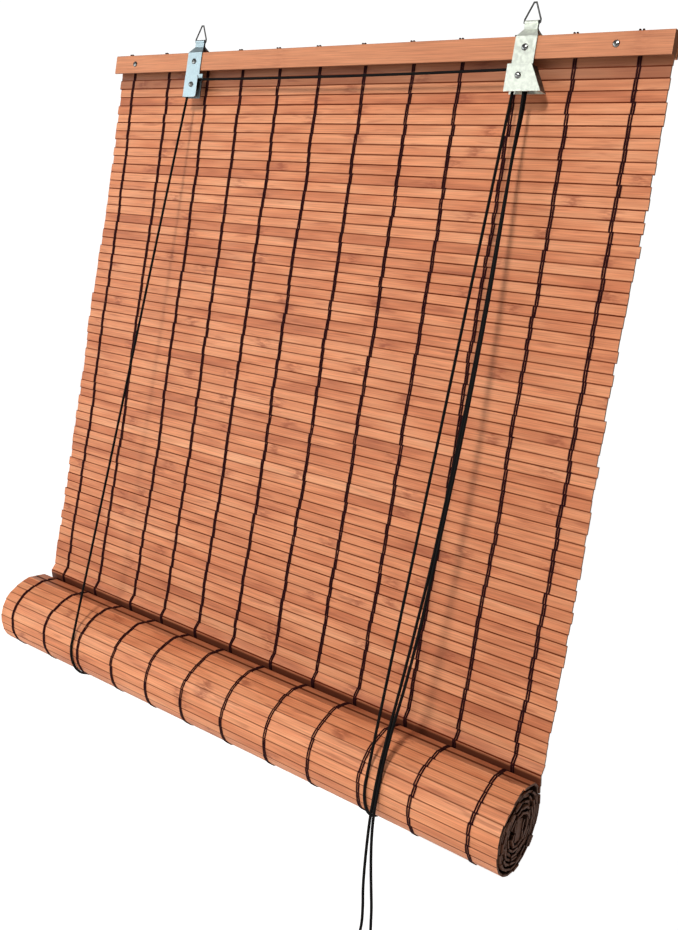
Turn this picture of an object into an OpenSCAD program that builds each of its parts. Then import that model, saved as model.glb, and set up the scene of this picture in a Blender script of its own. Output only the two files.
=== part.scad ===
// Roll-up blind of woven bamboo slats. It hangs by two wire rings, and two
// cord slings lift the roll. Millimetres, +Z up, +Y towards the wall.
// The origin is midway between the two points where the rings hang.

/* [Headrail] */
// Length of the headrail battens
headrail_l = 596; // [560:2:640]
// Height of the headrail battens
headrail_h = 18.5; // [17:0.5:20]
// Thickness of the front batten
front_t = 8.5; // [7:0.5:8.5]
// Thickness of the rear strip that clamps the mat
rear_t = 3; // [2.5:0.1:3]

/* [Mat] */
// Width of the slats
mat_w = 592; // [570:2:594]
// Distance from one slat to the next
slat_pitch = 8.65; // [8.4:0.05:8.8]
// Height of one slat
slat_h = 8.2; // [7.6:0.1:8.3]
// Thickness of one slat
slat_t = 1.6; // [1.2:0.1:1.6]
// Distance between warp threads
warp_gap = 50; // [46:1:50]

/* [Roll] */
// Outer radius of the rolled mat
roll_r = 34.5; // [32:0.5:34.5]
// Height of the wooden strip in the roll's core
core_h = 18; // [12:1:22]
// Thickness of the wooden strip in the roll's core
core_t = 8; // [5:0.5:10]

/* [Brackets] */
// Distance of each bracket from the middle
bracket_x = 181; // [178:0.5:184]
// Width of the bracket's strap
strap_w = 18.6; // [17:0.2:20]
// Width of the bracket's neck and curl
neck_w = 11.6; // [10:0.2:12]
// Radius of the hanger ring's wire
ring_wire_r = 0.7; // [0.65:0.01:0.72]

/* [Cords] */
// Diameter of the lift and pull cords
cord_d = 2; // [1.6:0.1:2]

/* [Hidden] */
$fn = 48;

cr = cord_d / 2;
// front and back faces of the stack at the headrail
y_mat = 4;
y_back = y_mat + slat_t;
y_front = y_mat - front_t;
y_rear = y_back + rear_t;
z_top = -26;
z_bot = z_top - headrail_h;
sheet = 1;
// slats: number 0 is inside the headrail, the last one ends at the bend
z_slat0 = -32.2;
n_up = 8;
n_all = 63;
function slat_top(i) = z_slat0 - i * slat_pitch;
z_split = slat_top(n_up) + (slat_pitch - slat_h) / 2;
z_kink = slat_top(n_all);
mat_x = -2;
warp_n = 12;
warp_x0 = -5 - warp_gap * 5.5;
// how far each warp is off its even place
warp_off = [3.3, 5.4, 11.2, 7.1, 4.8, 2.4, 2.9, 3.5, 0.8, 1.7, 0.7, 2];
// roll
roll_y = -23;
roll_z = -621;
sling_r = roll_r + cr + 0.4;
// ring
z_ring = -14.6;
// pulleys
z_axle = -59;
x_axle_l = -174.6;
x_axle_r = 184;
wrap_r = 5.5;
groove_r = wrap_r - cr - 0.3;
flange_r = 6.2;
pin_r = 1.5;
z_exit = -71;
// left housing gap and right housing gap, front to back
gap_l = 5;
gap_r = 8;
y_leg0 = y_front - sheet;
y_pl = y_leg0 - gap_l / 2;
y_pr = y_leg0 - gap_r / 2;
y_pr_rear = y_pr + 1.8;
y_pr_front = y_pr - 1.8;
// sideways places of the slings
x_sling_l = -182;
x_sling_r = 176.5;
// screw places
x_screw_l = -268;
x_screw_r = 255;
z_screw = -35;

zinc = [0.80, 0.82, 0.84];
bamboo = [0.82, 0.52, 0.36];
rail = [0.84, 0.55, 0.40];
black = [0.05, 0.04, 0.04];
thread_c = [0.20, 0.08, 0.07];

// a solid laid along X, Y
module along_x(l, x0 = 0) { translate([x0, 0, 0]) rotate([90, 0, 90]) linear_extrude(l) children(); }
module rod_y(x, z, r, y0, y1) { translate([x, y0, z]) rotate([-90, 0, 0]) cylinder(r = r, h = y1 - y0); }
module rod_x(y, z, r, x0, x1) { translate([x0, y, z]) rotate([0, 90, 0]) cylinder(r = r, h = x1 - x0); }
// a straight round bar between two points
module bar(a, b, r) {
  d = b - a;
  l = norm(d);
  translate(a) rotate([0, acos(d[2] / l), atan2(d[1], d[0])]) cylinder(r = r, h = l);
}
module round_rect(x0, z0, x1, z1, r) {
  translate([x0 + r, z0]) square([x1 - x0 - 2 * r, z1 - z0]);
  translate([x0, z0 + r]) square([x1 - x0, z1 - z0 - 2 * r]);
  for (x = [x0 + r, x1 - r], z = [z0 + r, z1 - r]) translate([x, z]) circle(r = r);
}
// a flat plate that faces front, from y0 to y1
module plate(y0, y1) { translate([0, y1, 0]) rotate([90, 0, 0]) linear_extrude(y1 - y0) children(); }
// a cord's bend in the plane that faces front, from angle a0 to a1
module bend_y(x, y, z, r, a0, a1) {
  translate([x, y, z]) rotate([90, 0, 0]) rotate([0, 0, a0])
    rotate_extrude(angle = a1 - a0, $fn = 64) translate([r, 0]) circle(r = cr, $fn = 24);
}
// round tube swept along points
function dir_at(p, i) = let (n = len(p), d = i == 0 ? p[1] - p[0] : i == n - 1 ? p[n - 1] - p[n - 2] : p[i + 1] - p[i - 1]) d / norm(d);
function ring_at(p, i, r, s) = let (t = dir_at(p, i), u0 = cross(t, [0, 1, 0]), u = u0 / norm(u0), v = cross(t, u))
  [for (k = [0:s - 1]) p[i] + r * (cos(360 * k / s) * u + sin(360 * k / s) * v)];
module tube(p, r, s = 8) {
  n = len(p);
  pts = [for (i = [0:n - 1]) each ring_at(p, i, r, s)];
  faces = concat(
    [[for (k = [0:s - 1]) k]],
    [for (i = [0:n - 2], k = [0:s - 1]) [i * s + k, (i + 1) * s + k, (i + 1) * s + (k + 1) % s, i * s + (k + 1) % s]],
    [[for (k = [s - 1:-1:0]) (n - 1) * s + k]]);
  polyhedron(points = pts, faces = faces, convexity = 10);
}

// ---------------------------------------------------------------- headrail
module screw_holes(r, y0, y1) { for (x = [x_screw_l, x_screw_r]) rod_y(x, z_screw, r, y0, y1); }
module front_batten() {
  color(rail) difference() {
    translate([-headrail_l / 2, y_front, z_bot]) cube([headrail_l, front_t, headrail_h]);
    screw_holes(1.2, y_front - 1, y_mat + 1);
    for (s = [-1, 1]) rod_y(s * bracket_x, z_screw, 1.2, y_front - 1, y_front + 7);
  }
}
module rear_batten() {
  color(rail) difference() {
    translate([-headrail_l / 2, y_back, z_bot]) cube([headrail_l, rear_t, headrail_h]);
    screw_holes(1.2, y_back - 1, y_rear - 0.6);
  }
}
// pan head with a cross recess, and a plain shank
module screw(x, y, l) {
  difference() {
    union() {
      translate([x, y, z_screw]) rotate([90, 0, 0]) rotate_extrude()
        polygon([[0, 0], [2.7, 0], [2.7, 0.5], [2.1, 1.1], [1, 1.4], [0, 1.45]]);
      rod_y(x, z_screw, 1.2, y - 0.1, y + l);
    }
    for (a = [35, 125]) translate([x, y - 1.2, z_screw]) rotate([0, a, 0]) cube([2.6, 1.2, 0.6], center = true);
  }
}
module batten_screws() { color(zinc) for (x = [x_screw_l, x_screw_r]) screw(x, y_front, y_rear - 0.6 - y_front); }
module bracket_screws() { color(zinc) for (s = [-1, 1]) screw(s * bracket_x, y_leg0, 7 + sheet); }

// ---------------------------------------------------------------- brackets
// folded strap: front leg, neck with a curl for the ring, rear leg
module strap(x, z_low) {
  w = strap_w / 2;
  n = neck_w / 2;
  difference() {
    union() {
      intersection() {
        along_x(strap_w + 2, x - w - 1) union() {
          polygon([[y_leg0, z_low], [y_front, z_low], [y_front, z_top + 0.1], [0, -19.6], [0, -15.8], [-1, -15.8], [-1, -19.9], [y_leg0, z_top - 0.3]]);
          polygon([[y_rear, -50.5], [y_rear + sheet, -50.5], [y_rear + sheet, z_top + 0.4], [1, -18.9], [1, -15.8], [0, -15.8], [0, -19.6], [y_rear, z_top + 0.1]]);
        }
        plate(-20, 20) polygon([[x - w, -80], [x + w, -80], [x + w, z_top], [x + n, -20], [x + n, -10], [x - n, -10], [x - n, -20], [x - w, z_top]]);
      }
      rod_x(0, z_ring, 1.75, x - n, x + n);
    }
    rod_x(0, z_ring, ring_wire_r + 0.05, x - n - 1, x + n + 1);
    rod_y(x, z_screw, 1.2, y_leg0 - 1, y_front + 1);
  }
}
module left_bracket() {
  x0 = x_axle_l - 9.6;
  x1 = x_axle_l + 7.8;
  yf = y_leg0 - gap_l;
  color(zinc) difference() {
    union() {
      strap(-bracket_x, -50);
      plate(y_leg0, y_front) union() {
        translate([x0, z_exit]) square([x1 - x0, z_bot - 3 - z_exit]);
      }
      plate(yf - sheet, y_leg0) translate([x0, z_exit]) square([sheet, 21]);
      plate(yf - sheet, yf) round_rect(x0, z_exit, x1, z_exit + 21, 2.5);
    }
    rod_y(x_axle_l, z_axle, pin_r, yf - 5, 0);
    rod_y(x_sling_l, -47.5, cr + 0.25, 6, 14);
  }
}
// the lock housing narrows upwards: its right side is slanted
xr_left = x_axle_r - 10.6;
xr_top = x_axle_r + 10;
xr_low = x_axle_r + 21;
module trapezoid(t = 0) { polygon([[xr_left, z_exit], [xr_low - t, z_exit], [xr_top - t, z_exit + 21], [xr_left, z_exit + 21]]); }
x_roller = 197.2;
z_roller = -64.5;
module right_bracket() {
  yf = y_leg0 - gap_r;
  color(zinc) difference() {
    union() {
      strap(bracket_x, -50);
      plate(y_leg0, y_front) union() { trapezoid(); translate([xr_left, z_exit + 20]) square([17, 5]); }
      plate(yf - sheet, y_leg0) difference() { trapezoid(); trapezoid(1.13); }
      plate(yf - sheet, yf) trapezoid();
      rod_y(x_roller, -68.6, 1, y_leg0 - 1, y_front);
      rod_y(x_roller, -68.6, 1, yf - sheet, yf + 1);
    }
    rod_y(x_axle_r, z_axle, pin_r, yf - 5, 0);
    rod_y(x_sling_r, -47.5, cr + 0.25, 6, 14);
  }
}
// rivet: domed head in front, flat head behind
module rivet(x, yf) {
  rod_y(x, z_axle, pin_r, yf - sheet - 0.2, y_front + 0.2);
  rod_y(x, z_axle, 2.4, y_front, y_front + 0.8);
  translate([x, yf - sheet, z_axle]) rotate([90, 0, 0]) rotate_extrude()
    polygon([[0, 0], [2.7, 0], [2.6, 0.6], [2.2, 1.2], [1.5, 1.7], [0.7, 1.95], [0, 2]]);
}
module left_pulley_pin() { color(zinc) rivet(x_axle_l, y_leg0 - gap_l); }
module right_pulley_pin() { color(zinc) rivet(x_axle_r, y_leg0 - gap_r); }

// triangular hanger ring, its base wire in the curl
module hanger_ring(x) {
  a = [x - neck_w / 2 - 1.1, 0, z_ring];
  b = [x + neck_w / 2 + 1.1, 0, z_ring];
  c = [x - 1.1, 0, ring_wire_r];
  d = [x + 1.1, 0, ring_wire_r];
  // the sides stand up past the curl before they lean in
  e = a + [0, 0, 2.4];
  f = b + [0, 0, 2.4];
  bar(a, b, ring_wire_r);
  bar(a, e, ring_wire_r);
  bar(b, f, ring_wire_r);
  bar(e, c, ring_wire_r);
  bar(f, d, ring_wire_r);
  bar(c, d, ring_wire_r);
  for (p = [a, b, c, d, e, f]) translate(p) sphere(r = ring_wire_r * 1.06, $fn = 24);
}
module left_hanger_ring() { color(zinc) hanger_ring(-bracket_x); }
module right_hanger_ring() { color(zinc) hanger_ring(bracket_x); }

// ---------------------------------------------------------------- pulleys
module left_pulley() {
  h = gap_l / 2 - 0.4;
  g = cr + 0.3;
  color(zinc) translate([x_axle_l, y_pl, z_axle]) rotate([90, 0, 0]) rotate_extrude()
    polygon([[pin_r + 0.05, -h], [flange_r, -h], [flange_r, -g - 0.2], [groove_r, -g], [groove_r, g], [flange_r, g + 0.2], [flange_r, h], [pin_r + 0.05, h]]);
}
module right_pulley() {
  h = gap_r / 2 - 0.4;
  g = cr + 0.3;
  color(zinc) translate([x_axle_r, y_pr, z_axle]) rotate([90, 0, 0]) rotate_extrude()
    polygon([[pin_r + 0.05, -h], [flange_r, -h], [flange_r, -1.8 - g - 0.1], [groove_r, -1.8 - g], [groove_r, -1.8 + g], [flange_r, -1.8 + g + 0.1],
      [flange_r, 1.8 - g - 0.1], [groove_r, 1.8 - g], [groove_r, 1.8 + g], [flange_r, 1.8 + g + 0.1], [flange_r, h], [pin_r + 0.05, h]]);
}
// knurled locking roller: it rests on two dimples and rides up the slanted wall
module lock_roller() {
  h = gap_r / 2 - 0.4;
  color(zinc) difference() {
    rod_y(x_roller, z_roller, 2.7, y_pr - h, y_pr + h);
    for (k = [0:11]) translate([x_roller, y_pr, z_roller]) rotate([0, 30 * k, 0]) translate([2.75, 0, 0]) cube([0.5, 2 * h - 2, 0.5], center = true);
  }
}

// ---------------------------------------------------------------- mat
module slat(i) { translate([mat_x - mat_w / 2, y_mat, slat_top(i) - slat_pitch + (slat_pitch - slat_h) / 2]) cube([mat_w, slat_t, slat_h]); }
module upper_slats() {
  color(bamboo) difference() {
    for (i = [0:n_up - 1]) slat(i);
    screw_holes(1.2, y_mat - 1, y_back + 1);
  }
}
module lower_slats() { color(bamboo) for (i = [n_up:n_all - 1]) slat(i); }
// warp threads: a pair in front of the slats, and one behind
module threads(z1, z0) {
  for (k = [0:warp_n - 1]) {
    for (s = [-1, 1]) translate([warp_x0 + k * warp_gap + warp_off[k] + s * 1.25 - 0.45, y_mat - 0.5, z0]) cube([0.9, 0.5, z1 - z0]);
    translate([warp_x0 + k * warp_gap + warp_off[k] - 0.6, y_back, z0]) cube([1.2, 0.5, z1 - z0]);
  }
}
module upper_threads() { color(thread_c) threads(z_bot - 0.3, slat_top(n_up) + 0.3); }
module lower_threads() { color(thread_c) threads(slat_top(n_up), z_kink + 0.3); }
// the lowest slats tip forwards and back again over the roll's shoulder
bend = [[4.4, -577.8], [-1, -584.6], [2.4, -592.6]];
module bend_slats() {
  color(bamboo) for (i = [0:len(bend) - 2]) {
    a = bend[i];
    b = bend[i + 1];
    t = atan2(b[1] - a[1], b[0] - a[0]);
    translate([mat_x - mat_w / 2, a[0], a[1]]) rotate([t, 0, 0]) translate([0, i == 0 ? 0.3 : 1.1, 0]) cube([mat_w, norm(b - a) - 1.4, slat_t]);
  }
}
module core_strip(g = 0) { translate([mat_x - mat_w / 2 + 3 - g, roll_y - core_t / 2, roll_z - core_h / 2]) cube([mat_w - 6 + 2 * g, core_t, core_h]); }
module rolled_mat() {
  color(bamboo) difference() {
    rod_x(roll_y, roll_z, roll_r, mat_x - mat_w / 2, mat_x + mat_w / 2, $fn = 96);
    core_strip(20);
  }
}
module bottom_batten() { color(rail) core_strip(); }

// ---------------------------------------------------------------- lift cords
// where a straight cord from a point meets the sling's circle
function reach_to(y, z) = norm([y - roll_y, z - roll_z]);
function front_angle(y, z) = atan2(z - roll_z, y - roll_y) + acos(sling_r / reach_to(y, z));
function rear_angle(y, z) = atan2(z - roll_z, y - roll_y) - acos(sling_r / reach_to(y, z));
function on_sling(x, a) = [x, roll_y + sling_r * cos(a), roll_z + sling_r * sin(a)];
af_l = front_angle(y_pl, z_axle);
af_r = front_angle(y_pr_rear, z_axle);
y_tie = y_back + 0.6 + cr + 0.2;
ab = rear_angle(y_tie, -48.6);

module crossing_cord() {
  color(black) {
    bend_y(x_axle_l, y_pl, z_axle, wrap_r, 90, 180);
    bar([x_axle_l, y_pl, z_axle + wrap_r], [x_axle_r, y_pr_front, z_axle + wrap_r], cr);
    bend_y(x_axle_r, y_pr_front, z_axle, wrap_r, 0, 90);
    translate([x_axle_r + wrap_r, y_pr_front, z_exit]) cylinder(r = cr, h = z_axle - z_exit);
  }
}
module right_cord_wrap() {
  color(black) {
    bend_y(x_axle_r, y_pr_rear, z_axle, wrap_r, 0, 180);
    translate([x_axle_r + wrap_r, y_pr_rear, z_exit]) cylinder(r = cr, h = z_axle - z_exit);
  }
}
module left_front_cord() { color(black) bar([x_axle_l - wrap_r, y_pl, z_axle - 0.3], on_sling(x_sling_l, af_l) + [0, 0, 0.6], cr); }
module right_front_cord() { color(black) bar([x_axle_r - wrap_r, y_pr_rear, z_axle - 0.3], on_sling(x_sling_r, af_r) + [0, 0, 0.6], cr); }
// fixed ends: each back cord goes through a hole in the rear leg to a knot
module back_cord(x) {
  bar([x, y_tie, -48.6], on_sling(x, ab) + [0, 0, 0.6], cr);
  translate([x, y_tie, -48.6]) sphere(r = cr);
  bar([x, y_tie, -48.6], [x, y_tie, -47.5], cr);
  translate([x, y_tie, -47.5]) sphere(r = cr);
  rod_y(x, -47.5, cr, y_tie, y_rear + sheet + 0.1);
}
module left_back_cord() { color(black) back_cord(x_sling_l); }
module right_back_cord() { color(black) back_cord(x_sling_r); }
module cord_knots() {
  color(black) for (x = [x_sling_l, x_sling_r]) difference() {
    translate([x, y_rear + sheet + 2.3, -47.5]) sphere(r = 2.4);
    translate([x - 4, y_rear + sheet - 3.9, -52]) cube([8, 4, 9]);
  }
}
module sling(x, a) {
  translate([x, roll_y, roll_z]) rotate([90, 0, 90]) rotate([0, 0, a])
    rotate_extrude(angle = 360 + ab - a, $fn = 96) translate([sling_r, 0]) circle(r = cr, $fn = 24);
}
module left_sling() { color(black) sling(x_sling_l, af_l); }
module right_sling() { color(black) sling(x_sling_r, af_r); }

// ---------------------------------------------------------------- pull cords
// from the lock down to the roll's front
y_cord = roll_y - sling_r - 0.2;
route_a1 = [[189.5, -7.7, -71.2], [190.2, -9.2, -90], [190.0, -12.4, -122], [191.2, -16.1, -160], [194.0, -23.5, -240], [195.6, -32.3, -335], [194.8, -41.2, -430], [192.5, -47, -492], [190.4, -51.2, -536], [188.4, -54.4, -570], [186.9, -57.2, -600], [186.6, -58.8, -620], [186.3, -59.1, -639.8]];
route_b1 = [[189.5, -11.3, -71.2], [190.5, -12.6, -90], [191.3, -15.4, -122], [193.4, -18.8, -160], [196.8, -25.6, -240], [198.4, -33.8, -335], [197.6, -42.2, -430], [196.5, -47.6, -492], [194.2, -51.5, -536], [191.2, -54.6, -570], [189.4, -57.3, -600], [189.1, -58.8, -620], [189.1, -59.1, -639.8]];
// free ends below the roll, down to the hanks
route_a2 = [[186.3, -59.1, -640.1], [186.4, -58.9, -652], [186.8, -58.2, -668], [187.3, -57.2, -686], [187.9, -56, -704], [189.6, -53.6, -720], [190.4, -52.3, -734], [190.0, -51.4, -746.9]];
route_b2 = [[189.1, -59.1, -640.1], [189.6, -58.8, -652], [190.7, -57.6, -668], [192.4, -55.4, -686], [194.4, -52.4, -704], [195.8, -50.4, -720], [196.9, -49, -734], [197.4, -48.7, -746.9]];
module held_pull_cords() { color(black) { tube(route_a1, cr); tube(route_b1, cr); } }
module pull_cord_a() { color(black) tube(route_a2, cr); }
module pull_cord_b() { color(black) tube(route_b2, cr); }
// spare length of each cord, wound into a flat hank with round ends
hank_x = 193.6;
hank_r = 12.3;
hank_straight = 36;
hank_t = 12.8;
z_hank = -747 - hank_r;
module stadium(r) {
  translate([hank_x, z_hank]) circle(r = r);
  translate([hank_x, z_hank - hank_straight]) circle(r = r);
  translate([hank_x - r, z_hank - hank_straight]) square([2 * r, hank_straight]);
}
y_hank = -50;
module hank_a() { color(black) plate(y_hank - 0.1 - hank_t, y_hank - 0.1) stadium(hank_r); }
module hank_b() { color(black) plate(y_hank + 0.1, y_hank + 0.1 + hank_t) stadium(hank_r); }
module hank_tie() {
  h = hank_r;
  t = hank_t + 0.1;
  color(black) translate([hank_x, y_hank, z_hank - hank_straight / 2 - 3]) linear_extrude(6) difference() {
    square([2 * h + 3, 2 * t + 3], center = true);
    square([2 * h, 2 * t], center = true);
  }
}
module pull_knots() {
  color(black) for (s = [-1, 1]) translate([hank_x + 11.2 * s, y_hank + 11.8 * s, z_hank - hank_straight]) {
    translate([0, 0, -13]) sphere(r = 2.6);
    translate([0, 0, -12]) cylinder(r = cr, h = 3.5);
  }
}

front_batten();
rear_batten();
batten_screws();
bracket_screws();
left_bracket();
right_bracket();
left_hanger_ring();
right_hanger_ring();
left_pulley();
right_pulley();
left_pulley_pin();
right_pulley_pin();
lock_roller();
upper_slats();
lower_slats();
upper_threads();
lower_threads();
bend_slats();
rolled_mat();
bottom_batten();
crossing_cord();
right_cord_wrap();
left_front_cord();
right_front_cord();
left_back_cord();
right_back_cord();
cord_knots();
left_sling();
right_sling();
held_pull_cords();
pull_cord_a();
pull_cord_b();
hank_a();
hank_b();
hank_tie();
pull_knots();
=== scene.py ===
"""Looks of the roll-up bamboo blind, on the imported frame. Lengths in the helpers are in millimetres."""
import bpy
import math
import random
import numpy as np
from mathutils import Matrix


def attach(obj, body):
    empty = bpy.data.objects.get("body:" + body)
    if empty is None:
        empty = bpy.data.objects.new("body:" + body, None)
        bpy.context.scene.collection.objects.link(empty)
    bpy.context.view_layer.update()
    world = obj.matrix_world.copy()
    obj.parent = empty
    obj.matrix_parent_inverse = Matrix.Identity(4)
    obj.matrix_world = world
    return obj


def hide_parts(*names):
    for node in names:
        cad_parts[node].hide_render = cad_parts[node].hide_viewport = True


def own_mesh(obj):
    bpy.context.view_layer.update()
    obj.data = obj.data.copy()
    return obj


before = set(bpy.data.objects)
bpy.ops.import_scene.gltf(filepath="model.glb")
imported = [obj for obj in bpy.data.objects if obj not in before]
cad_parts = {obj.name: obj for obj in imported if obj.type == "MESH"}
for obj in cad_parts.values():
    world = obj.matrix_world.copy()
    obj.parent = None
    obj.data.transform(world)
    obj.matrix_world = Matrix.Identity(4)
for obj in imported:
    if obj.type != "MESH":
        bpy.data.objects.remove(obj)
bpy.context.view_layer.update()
MM = 0.001
scene = bpy.context.scene

# ------------------------------------------------------------------ camera
VIEW_R = [[0.7911398, 0.5927790, 0.1507013],
          [0.1773341, 0.0135004, -0.9840581],
          [-0.5853635, 0.8052520, -0.0944393]]
cam_data = bpy.data.cameras.new("camera")
cam = bpy.data.objects.new("camera", cam_data)
scene.collection.objects.link(cam)
turn = Matrix([VIEW_R[0], [-v for v in VIEW_R[1]], [-v for v in VIEW_R[2]]]).transposed()
cam.matrix_world = Matrix.Translation((0.5764, -0.7169, -0.2669)) @ turn.to_4x4()
cam_data.sensor_width = 36.0
cam_data.lens = 39.12
cam_data.shift_x = 0.0
cam_data.shift_y = -0.0484
cam_data.clip_start = 0.01
cam_data.clip_end = 60.0
cam_data.dof.use_dof = False
scene.camera = cam


# ------------------------------------------------------------------ materials
class Nodes:
    """Short hand for building a material's node tree."""

    def __init__(self, name):
        self.mat = bpy.data.materials.new(name)
        self.mat.use_nodes = True
        self.t = self.mat.node_tree
        self.t.nodes.clear()
        self.out = self.t.nodes.new("ShaderNodeOutputMaterial")
        self.bsdf = self.t.nodes.new("ShaderNodeBsdfPrincipled")
        self.t.links.new(self.bsdf.outputs[0], self.out.inputs[0])

    def new(self, kind, **props):
        n = self.t.nodes.new(kind)
        for k, v in props.items():
            setattr(n, k, v)
        return n

    def link(self, a, b):
        self.t.links.new(a, b)

    def put(self, socket, value):
        if hasattr(value, "is_output"):
            self.link(value, socket)
        else:
            socket.default_value = value

    def math(self, op, a, b=0.0, clamp=False):
        n = self.new("ShaderNodeMath", operation=op, use_clamp=clamp)
        self.put(n.inputs[0], a)
        self.put(n.inputs[1], b)
        return n.outputs[0]

    def xyz(self, x, y, z):
        n = self.new("ShaderNodeCombineXYZ")
        for i, v in enumerate((x, y, z)):
            self.put(n.inputs[i], v)
        return n.outputs[0]

    def noise(self, vec, scale, detail=3.0, rough=0.55):
        n = self.new("ShaderNodeTexNoise")
        self.put(n.inputs["Vector"], vec)
        n.inputs["Scale"].default_value = scale
        n.inputs["Detail"].default_value = detail
        n.inputs["Roughness"].default_value = rough
        return n.outputs[0]

    def rand(self, w):
        n = self.new("ShaderNodeTexWhiteNoise", noise_dimensions="1D")
        self.put(n.inputs["W"], w)
        return n.outputs["Value"]

    def ramp(self, fac, stops):
        n = self.new("ShaderNodeValToRGB")
        r = n.color_ramp
        while len(r.elements) < len(stops):
            r.elements.new(0.5)
        for e, (p, c) in zip(r.elements, stops):
            e.position = p
            e.color = (c[0], c[1], c[2], 1.0)
        self.link(fac, n.inputs[0])
        return n.outputs[0]

    def mix(self, fac, a, b, blend="MIX"):
        n = self.new("ShaderNodeMix", data_type="RGBA", blend_type=blend)
        self.put(n.inputs[0], fac)
        self.put(n.inputs[6], a if hasattr(a, "is_output") else (a[0], a[1], a[2], 1.0))
        self.put(n.inputs[7], b if hasattr(b, "is_output") else (b[0], b[1], b[2], 1.0))
        return n.outputs[2]

    def span(self, v, lo, hi, a=0.0, b=1.0):
        n = self.new("ShaderNodeMapRange", interpolation_type="SMOOTHSTEP")
        self.put(n.inputs[0], v)
        for i, q in enumerate((lo, hi, a, b)):
            n.inputs[i + 1].default_value = q
        return n.outputs[0]

    def bump(self, height, strength, distance):
        n = self.new("ShaderNodeBump")
        n.inputs["Strength"].default_value = strength
        n.inputs["Distance"].default_value = distance
        self.link(height, n.inputs["Height"])
        self.link(n.outputs[0], self.bsdf.inputs["Normal"])

    def surface(self, rough, metal=0.0, spec=0.5):
        self.put(self.bsdf.inputs["Roughness"], rough)
        self.bsdf.inputs["Metallic"].default_value = metal
        self.bsdf.inputs["Specular IOR Level"].default_value = spec


def bamboo_material(name, stops, marks=1.0, gain=1.0, edge=8.65, rim_w=0.74, rim_gain=1.0, rim_col=(0.105, 0.013, 0.003), end_col=(0.20, 0.14, 0.10), shade_col=(0.10, 0.022, 0.009)):
    """Split bamboo: each slat has its own tone, long grain, and darker nodes here and there."""
    m = Nodes(name)
    at = m.new("ShaderNodeAttribute", attribute_name="sl")
    sep = m.new("ShaderNodeSeparateXYZ")
    m.link(at.outputs["Vector"], sep.inputs[0])
    x, u, kk = sep.outputs
    k = m.math("FLOOR", m.math("ADD", kk, 0.001))
    tone = m.rand(k)
    shift = m.rand(m.math("ADD", k, 41.7))
    # slow drift of tone along each slat
    drift = m.noise(m.xyz(m.math("MULTIPLY", x, 12.5), m.math("MULTIPLY", k, 7.31), m.math("MULTIPLY", u, 0.06)), 1.0, 2.0)
    grain = m.noise(m.xyz(m.math("MULTIPLY", x, 16.0), m.math("MULTIPLY", u, 0.95), m.math("MULTIPLY", k, 3.17)), 1.0, 4.0, 0.62)
    fine = m.noise(m.xyz(m.math("MULTIPLY", x, 45.0), m.math("MULTIPLY", u, 4.2), m.math("MULTIPLY", k, 5.77)), 1.0, 2.0, 0.6)
    mixed = m.math("ADD", m.math("MULTIPLY", tone, 0.34), m.math("MULTIPLY", drift, 1.25))
    mixed = m.math("SUBTRACT", mixed, 0.295)
    base = m.ramp(mixed, stops)
    light = m.span(grain, 0.25, 0.75, 0.80 * gain, 1.16 * gain)
    light2 = m.span(fine, 0.2, 0.8, 0.90, 1.08)
    both = m.math("MULTIPLY", light, light2)
    col = m.mix(1.0, base, m.xyz(both, both, both), "MULTIPLY")
    # bamboo nodes: a short darker band at a random place on each slat, broken up by noise
    place = m.math("FRACT", m.math("ADD", m.math("MULTIPLY", x, 2.9), m.math("MULTIPLY", shift, 1.0)))
    off = m.math("ABSOLUTE", m.math("SUBTRACT", place, 0.5))
    band = m.span(off, 0.0, 0.042, 1.0, 0.0)
    patch = m.noise(m.xyz(m.math("MULTIPLY", x, 95.0), m.math("MULTIPLY", u, 0.42), m.math("MULTIPLY", k, 9.1)), 1.0, 3.0, 0.6)
    band = m.math("MULTIPLY", band, m.span(patch, 0.36, 0.62), True)
    blot = m.noise(m.xyz(m.math("MULTIPLY", x, 26.0), m.math("MULTIPLY", u, 0.25), m.math("MULTIPLY", k, 13.9)), 1.0, 2.0, 0.5)
    blot = m.math("MULTIPLY", m.span(blot, 0.58, 0.74), 0.6)
    dark = m.math("MULTIPLY", m.math("MAXIMUM", band, blot), 0.74 * marks, True)
    col = m.mix(dark, col, (0.27, 0.062, 0.026))
    # darker along the long edges, so dark lines show between the slats; the cut ends are dull and grey
    dull = None
    if edge:
        away = m.math("ABSOLUTE", m.math("SUBTRACT", u, edge * 0.5))
        rim = m.math("MULTIPLY", m.span(away, edge * 0.5 - rim_w, edge * 0.5 - rim_w * 0.5), rim_gain)
        rim = m.math("MULTIPLY", rim, m.math("ADD", m.math("MULTIPLY", m.rand(m.math("ADD", k, 7.7)), 0.26), 0.74))
        col = m.mix(rim, col, rim_col)
        dull = rim
    # painted shade: the fraction of the slat number mixes the colour towards shade_col, for the shade under the
    # headrail, at the bend, on the top of the roll and inside it
    shade = m.math("SUBTRACT", kk, k, True)
    col = m.mix(shade, col, shade_col)
    geo = m.new("ShaderNodeNewGeometry")
    side = m.new("ShaderNodeSeparateXYZ")
    m.link(geo.outputs["True Normal"], side.inputs[0])
    cut_end = m.span(m.math("ABSOLUTE", side.outputs[0]), 0.75, 0.9)
    col = m.mix(cut_end, col, end_col)
    m.link(col, m.bsdf.inputs["Base Color"])
    m.surface(m.span(grain, 0.3, 0.7, 0.46, 0.60), 0.0, 0.30)
    m.link(m.span(m.math("MAXIMUM", cut_end, dull) if dull else cut_end, 0.0, 1.0, 0.30, 0.04), m.bsdf.inputs["Specular IOR Level"])
    m.bump(m.math("ADD", grain, m.math("MULTIPLY", fine, 0.6)), 0.35, 0.00025)
    return m.mat


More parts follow.
